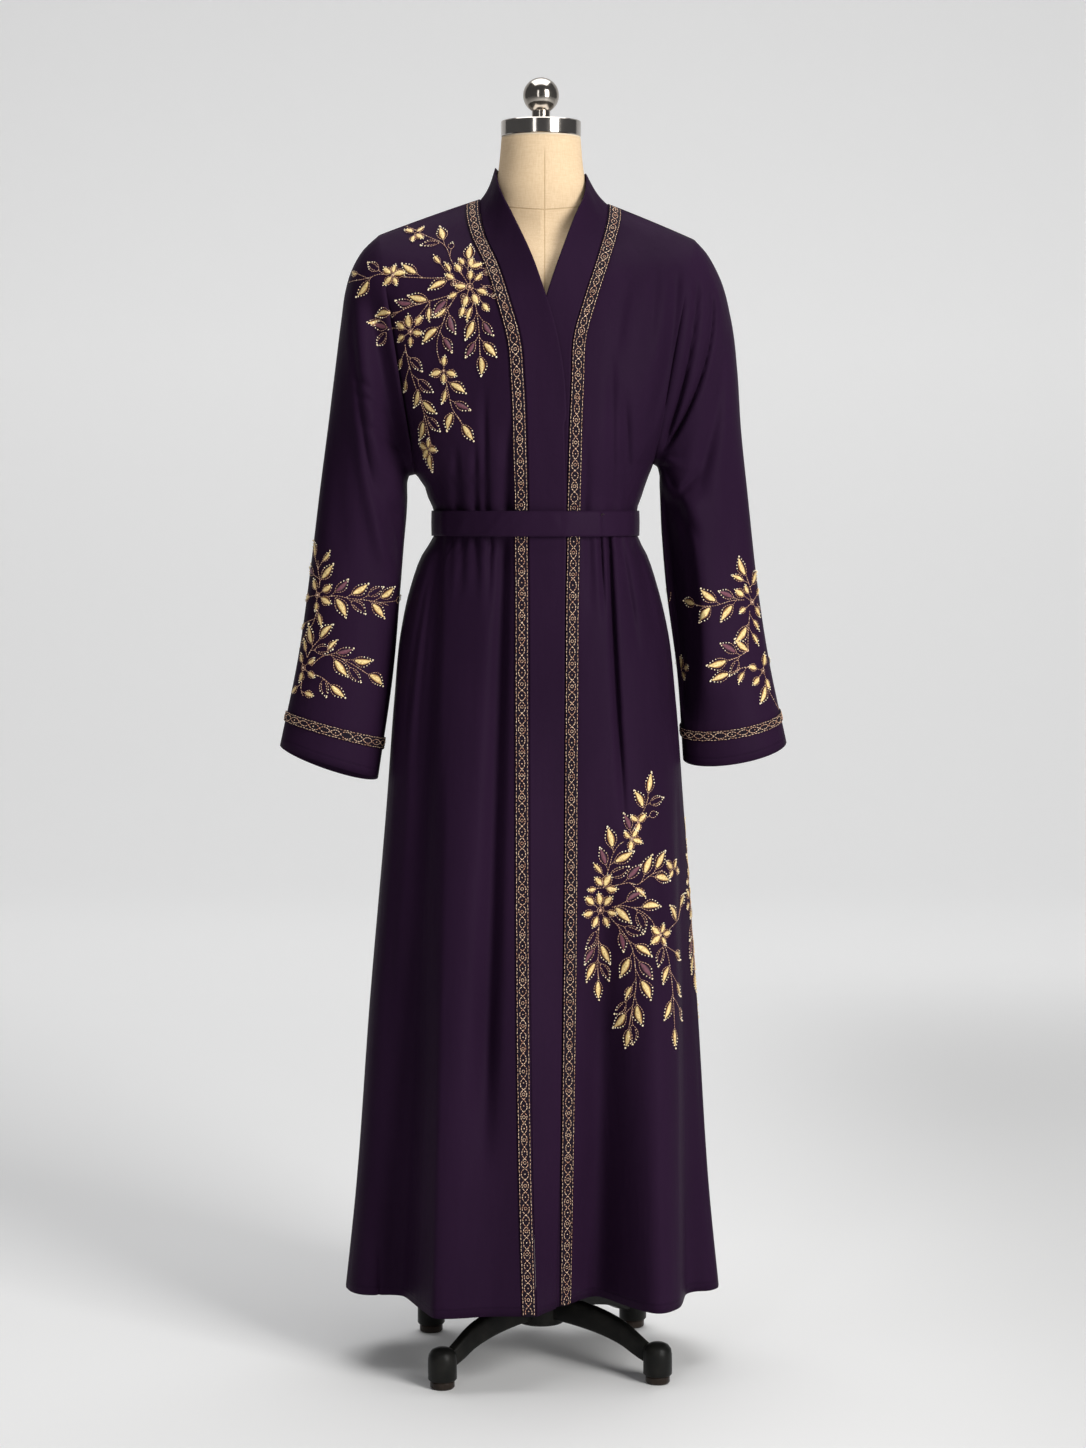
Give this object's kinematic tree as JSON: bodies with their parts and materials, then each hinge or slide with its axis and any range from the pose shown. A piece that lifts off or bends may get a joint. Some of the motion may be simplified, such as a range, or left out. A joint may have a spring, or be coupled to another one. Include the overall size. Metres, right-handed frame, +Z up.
{
  "type": "abaya on a dress form",
  "caption": "Full-length open-front abaya with wide sleeves, lapped front bands, embroidered trim and a flat belt, worn by a limbless dress form on a legged stand.",
  "frame": {"origin": "on the floor under the middle of the bounding box, 9 mm from the pole's axis in X and 14 mm in Y", "axes": "+Z up, the wearer's front towards -Y, the wearer's right side at -X"},
  "size_m": [0.651, 0.3504, 1.6424],
  "materials": {
    "panels": "satin crepe, soft sheen",
    "bands": "satin crepe folded double",
    "trim": "interlaced metallic thread on black",
    "belt": "satin crepe folded double",
    "linen": "linen over a hard shell",
    "nickel": "brushed nickel",
    "black_metal": "matte black",
    "glides": "dark plastic"
  },
  "bodies": {
    "root": {"front_right": "panels", "front_left": "panels", "back_right": "panels", "back_left": "panels", "band_right": "bands", "band_left": "bands", "trim_right": "trim", "trim_left": "trim", "cuff_trim_right": "trim", "cuff_trim_left": "trim", "belt": "belt", "form_torso": "linen", "neck_cap": "nickel", "finial": "nickel", "pole": "nickel", "base": "black_metal", "glide_1": "glides", "glide_2": "glides", "glide_3": "glides", "glide_4": "glides"}
  },
  "joints": []
}
